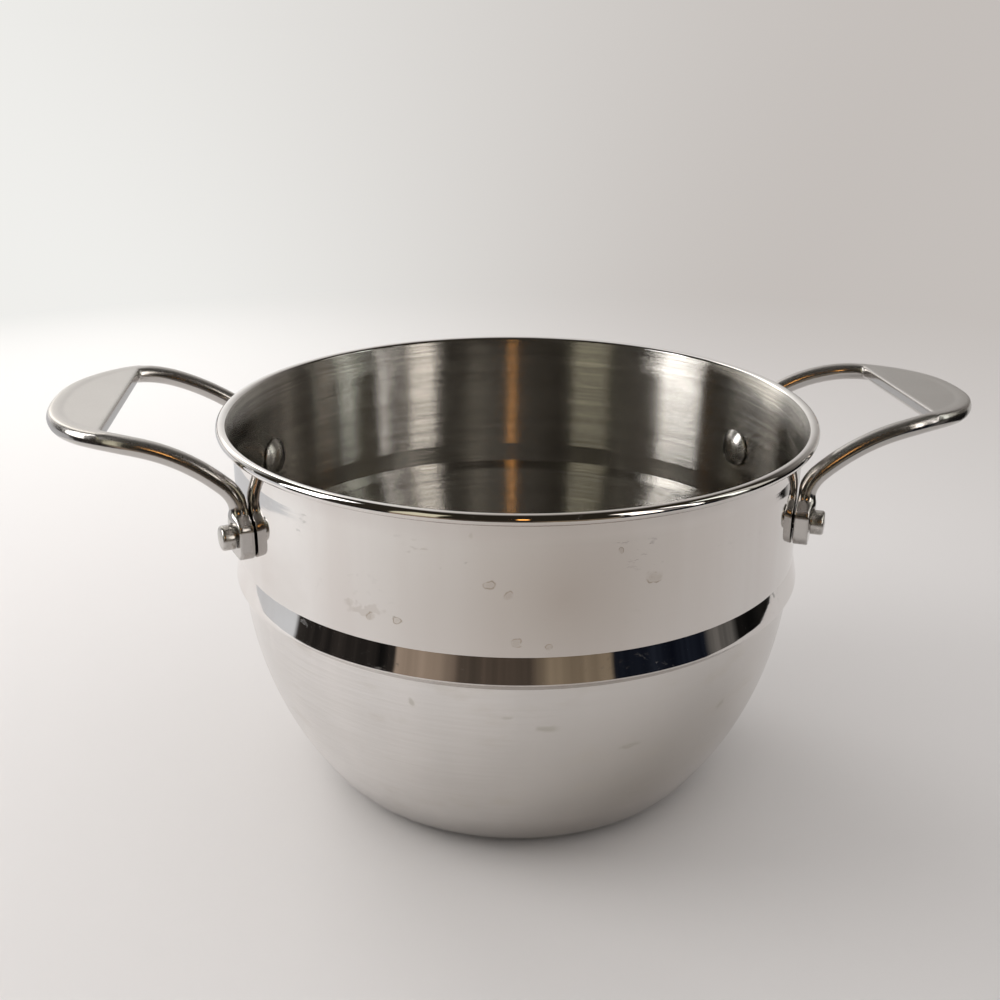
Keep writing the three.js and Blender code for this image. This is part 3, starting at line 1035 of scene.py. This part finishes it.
# Soft lamps that point at one place: place, size, watts and colour
LAMP_TARGET = (-0.05, 0.0, 0.0)
LAMPS = {
    "key": ((-0.85, 0.02, 0.55), 0.6, 2.9, (1.0, 0.995, 0.98)),
    "fill": ((-0.42, 0.75, 0.36), 0.5, 2.5, (1.0, 0.99, 0.98)),
}

# What the steel mirrors: a room round a pale table top
ROOM_RADIUS = 3.0
TABLE_RADIUS = 0.385
TABLE_RIGHT = 0.05
TABLE_MIDDLE = (-0.004, -0.04, 0)
TABLE_SIDES = 96
SURROUND_HEIGHT = 0.0004
FRONT = math.degrees(math.atan2(CAMERA_PLACE.x, -CAMERA_PLACE.y))


def rightward(tree, place):
    """How far to the right a place lies, seen from the middle: -1 at the left to 1 at the right."""
    flat = vector_node(tree, "NORMALIZE", stretched(tree, place, (1, 1, 0)))
    return axis_of(tree, flat, "X")


def backdrop_colour(tree, place):
    """The pale backdrop far off, with painted shade that makes it dimmer on the right."""
    inputs = {"Value": rightward(tree, place), "From Min": -BACKDROP_SPREAD, "From Max": BACKDROP_SPREAD}
    share = add(tree, "ShaderNodeMapRange", inputs, interpolation_type="SMOOTHSTEP").outputs["Result"]
    return mix_colour(tree, share, BACKDROP_LEFT, BACKDROP_RIGHT_SHADED)


def looked_at(tree):
    """One for rays that show a surface: from the camera, or by way of a mirror or a clear body."""
    path = add(tree, "ShaderNodeLightPath").outputs
    return largest(tree, path["Is Glossy Ray"], path["Is Transmission Ray"], path["Is Camera Ray"])


def floor():
    """A wide pale floor that takes the shadow near the basket and turns into the backdrop far off."""
    mesh = bpy.data.meshes.new("floor")
    half = FLOOR_SIZE / 2
    corners = [(-half, -half, 0), (half, -half, 0), (half, half, 0), (-half, half, 0)]
    mesh.from_pydata(corners, [], [(0, 1, 2, 3)])
    material, tree = new_material("pale_floor")
    shader = tree.nodes["Principled BSDF"]
    shader.inputs["Base Color"].default_value = FLOOR_COLOUR
    shader.inputs["Roughness"].default_value = 1.0
    shader.inputs["Specular IOR Level"].default_value = 0.0
    place = add(tree, "ShaderNodeTexCoord").outputs["Object"]
    far = span(tree, vector_node(tree, "LENGTH", place), FLOOR_NEAR, FLOOR_FAR)
    share = product(tree, far, looked_at(tree))
    backdrop = add(tree, "ShaderNodeEmission", {"Color": backdrop_colour(tree, place)})
    both = add(tree, "ShaderNodeMixShader", {0: share, 1: shader.outputs[0], 2: backdrop.outputs[0]})
    feed(tree.nodes["Material Output"], "Surface", both.outputs[0])
    mesh.materials.append(material)
    made = link_object("floor", mesh)
    made.location.z = -FLOOR_GAP


def reflected_only(made):
    """Seen in the polished steel, but neither by the camera nor in the light on the floor."""
    made.visible_camera = False
    made.visible_diffuse = False
    made.visible_shadow = False
    made.visible_transmission = False
    made.visible_volume_scatter = False


def glow(name, colour_maker):
    """A material that only shines, with a colour made by its own nodes."""
    material, tree = new_material(name)
    tree.nodes.clear()
    place = add(tree, "ShaderNodeTexCoord").outputs["Object"]
    emission = add(tree, "ShaderNodeEmission", {"Color": colour_maker(tree, place), "Strength": 1.0})
    add(tree, "ShaderNodeOutputMaterial", {"Surface": emission.outputs[0]})
    return material


def degrees_round(tree, place):
    """Degrees round the Z axis from the camera's side, to the right, from -180 to 180."""
    parts = add(tree, "ShaderNodeSeparateXYZ", {0: place}).outputs
    turn = math_node(tree, "ARCTAN2", parts["X"], product(tree, parts["Y"], -1.0))
    return math_node(tree, "SUBTRACT", product(tree, turn, math.degrees(1)), FRONT)


def degrees_up(tree, place):
    height = axis_of(tree, vector_node(tree, "NORMALIZE", place), "Z")
    return product(tree, math_node(tree, "ARCSINE", height), math.degrees(1))


def band(tree, value, middle, half, soft):
    """One inside a range of a value, and zero a soft edge away from it."""
    gap = math_node(tree, "ABSOLUTE", math_node(tree, "SUBTRACT", value, middle))
    return span(tree, gap, half, half + soft, 1.0, 0.0)


# The dim room, and its pale wall behind the basket, which darkens to the right
ROOM_DIM = tint(0.026, 0.022, 0.016)
ROOM_WALL_LEFT = tint(1.35, 1.33, 1.30)
ROOM_WALL_RIGHT = tint(0.26, 0.24, 0.222)
ROOM_WALL_SPREAD = 0.8

# The wall's low and high parts: where each starts, in degrees from the camera's side, and ends, in degrees up
WALL_LOW_START = (105.0, 130.0)
WALL_LOW_END = (22.0, 40.0)
WALL_HIGH_START = (130.0, 155.0)
WALL_HIGH_END = (50.0, 85.0)

# Lights of the room by bearing from the camera's side, in degrees: middle, half width, soft edge, then
# foot and top in degrees up, colour and strength
ROOM_LIGHTS = [
    (-142, 6, 2, 22, 50, (1.0, 0.95, 0.86), 2.2),
    (-80, 9.5, 1.5, 8, 46, (1.0, 0.985, 0.97), 6.0),
    (-35, 7.5, 1.5, 5, 46, (1.0, 0.95, 0.72), 0.8),
    (2.5, 1.4, 1.2, 25, 31, (1.0, 0.46, 0.12), 5.5),
    (45.2, 5.4, 1.0, 8, 46, (1.0, 0.94, 0.87), 3.4),
    (57, 5.5, 1.5, 8, 46, (1.0, 0.95, 0.95), 0.25),
    (65, 1.7, 1.0, 8, 46, (1.0, 0.97, 0.94), 3.4),
    (84, 3.2, 2, 10, 46, (0.97, 1.0, 0.92), 1.9),
    (97, 5, 3, 10, 46, (1.0, 0.97, 0.88), 0.6),
]
LIGHT_END_SOFT = 3.0
DARK = tint(0, 0, 0)


def room_colour(tree, place):
    """A dim room in front and overhead, a pale wall behind that darkens to the right, and a few lights."""
    turn = degrees_round(tree, place)
    rise = degrees_up(tree, place)
    away = math_node(tree, "ABSOLUTE", turn)
    low = product(tree, span(tree, away, *WALL_LOW_START), span(tree, rise, *WALL_LOW_END, 1.0, 0.0))
    high = product(tree, span(tree, away, *WALL_HIGH_START), span(tree, rise, *WALL_HIGH_END, 1.0, 0.0))
    aside = span(tree, rightward(tree, place), -ROOM_WALL_SPREAD, ROOM_WALL_SPREAD)
    wall = mix_colour(tree, aside, ROOM_WALL_LEFT, ROOM_WALL_RIGHT)
    colour = mix_colour(tree, largest(tree, low, high), ROOM_DIM, wall)
    for middle, half, soft, foot, top, shade, strength in ROOM_LIGHTS:
        upright = band(tree, rise, (foot + top) / 2, (top - foot) / 2, LIGHT_END_SOFT)
        share = product(tree, band(tree, turn, middle, half, soft), upright)
        shine = mix_colour(tree, share, DARK, tint(*[c * strength for c in shade]))
        added = add(tree, "ShaderNodeMix", {0: 1.0, 6: colour, 7: shine}, data_type="RGBA", blend_type="ADD")
        colour = added.outputs[2]
    return colour


def room():
    mesh = bpy.data.meshes.new("room")
    shell = bmesh.new()
    bmesh.ops.create_uvsphere(shell, u_segments=64, v_segments=32, radius=ROOM_RADIUS)
    under = [v for v in shell.verts if v.co.z < -FLOOR_GAP]
    bmesh.ops.delete(shell, geom=under, context="VERTS")
    shell.to_mesh(mesh)
    shell.free()
    mesh.materials.append(glow("room_glow", room_colour))
    reflected_only(link_object("room", mesh))


# The floor beyond the table: its colour on the left, then stretches by bearing in degrees from the camera's
# side, with start, soft edge, darkest and lightest colour
SURROUND_LEFT = tint(0.64, 0.64, 0.65)
SURROUND = [
    (-87, 1, (0.005, 0.005, 0.005), (0.040, 0.034, 0.030)),
    (-43.5, 0.6, (0.28, 0.22, 0.17), (0.42, 0.33, 0.26)),
    (-24, 4, (0.06, 0.05, 0.04), (0.13, 0.10, 0.08)),
    (9, 3, (0.20, 0.16, 0.115), (0.32, 0.26, 0.19)),
    (35.5, 0.8, (0.003, 0.004, 0.008), (0.016, 0.020, 0.030)),
    (74, 1.5, (0.05, 0.048, 0.045), (0.16, 0.15, 0.14)),
    (87.5, 1.5, (0.003, 0.003, 0.003), (0.012, 0.011, 0.010)),
    (125, 3, (0.50, 0.48, 0.46), (0.60, 0.58, 0.56)),
]


def surround_colour(tree, place):
    """The floor beyond the pale table top: light on the left, then dark stretches with upright streaks."""
    turn = degrees_round(tree, place)
    along = add(tree, "ShaderNodeCombineXYZ", {"X": turn}).outputs[0]
    streak = span(tree, noise(tree, along, scale=0.11, roughness=0.6), 0.35, 0.65)
    colour = SURROUND_LEFT
    for start, soft, dark, pale in SURROUND:
        stretch = mix_colour(tree, streak, tint(*dark), tint(*pale))
        colour = mix_colour(tree, span(tree, turn, start - soft, start + soft), colour, stretch)
    return colour


def table_edge(radius):
    """The table top's edge in millimetres, a little wider on the right."""
    points = []
    for x, y, height in circle(radius / MM, SURROUND_HEIGHT / MM, TABLE_SIDES):
        share = 1 + TABLE_RIGHT * max(x / (radius / MM), 0) ** 2
        points.append((x * share, y * share, height))
    return points


def surround():
    builder = Builder()
    rings = [builder.ring(table_edge(r)) for r in (TABLE_RADIUS, ROOM_RADIUS)]
    builder.bridge(*rings, "dark")
    made = builder.object("surround", {"dark": glow("surround_glow", surround_colour)})
    made.location = TABLE_MIDDLE
    reflected_only(made)


def light(name, place, size, watts, colour):
    lamp = bpy.data.lights.new(name, "AREA")
    lamp.shape = "DISK"
    lamp.size = size
    lamp.energy = watts
    lamp.color = colour
    made = link_object(name, lamp)
    made.location = place
    made.rotation_euler = (Vector(LAMP_TARGET) - Vector(place)).to_track_quat("-Z", "Y").to_euler()
    made.visible_camera = False
    made.visible_glossy = False


def world():
    """Light from above, and the backdrop's colour where the sky itself is seen."""
    made = bpy.data.worlds.new("studio")
    made.use_nodes = True
    tree = made.node_tree
    sky = tree.nodes["Background"]
    sky.inputs["Color"].default_value = DAYLIGHT_COLOUR
    view = add(tree, "ShaderNodeTexCoord").outputs["Generated"]
    strength = span(tree, degrees_up(tree, view), *DAYLIGHT_RISE, DAYLIGHT_LOW, DAYLIGHT_HIGH)
    feed(sky, "Strength", strength)
    backdrop = add(tree, "ShaderNodeBackground", {"Color": backdrop_colour(tree, view)})
    both = add(tree, "ShaderNodeMixShader", {0: looked_at(tree), 1: sky.outputs[0], 2: backdrop.outputs[0]})
    feed(tree.nodes["World Output"], "Surface", both.outputs[0])
    bpy.context.scene.world = made


def camera():
    lens = bpy.data.cameras.new("camera")
    lens.lens = CAMERA_LENS
    lens.sensor_width = CAMERA_SENSOR
    lens.clip_start = CAMERA_NEAR
    made = link_object("camera", lens)
    turn = Matrix.Rotation(CAMERA_HEADING, 4, "Z")
    tilt = Matrix.Rotation(CAMERA_TILT, 4, "X")
    roll = Matrix.Rotation(CAMERA_ROLL, 4, "Z")
    made.matrix_world = Matrix.Translation(CAMERA_PLACE) @ turn @ tilt @ roll
    bpy.context.scene.camera = made


def placed(made, node):
    """A finished piece rides with the basket and stands for one solid."""
    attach(made, "root")
    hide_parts(node)


bpy.context.scene.view_settings.view_transform = "Standard"
camera()
world()
floor()
room()
surround()
for lamp_name, lamp in LAMPS.items():
    light(lamp_name, *lamp)

finishes = {"satin": satin_steel(), "mirror": mirror_steel(), "brushed": brushed_steel()}
placed(bowl(finishes), "bowl")
loop_steel = handle_steel()
pin_steel = rivet_steel()
loop = handle_mesh()
for side, turn, droop in (("right", 0, RIGHT_DROOP), ("left", math.pi, 0)):
    placed(handle(f"{side}_handle", loop, turn, droop, loop_steel), f"handle_{side}")
    front = -FOOT_ANGLE if side == "right" else FOOT_ANGLE
    for end, foot in (("front", front), ("back", -front)):
        pin = rivet(f"{side}_{end}_rivet", turn + foot, pin_steel)
        placed(pin, f"rivet_{side}_{end}")
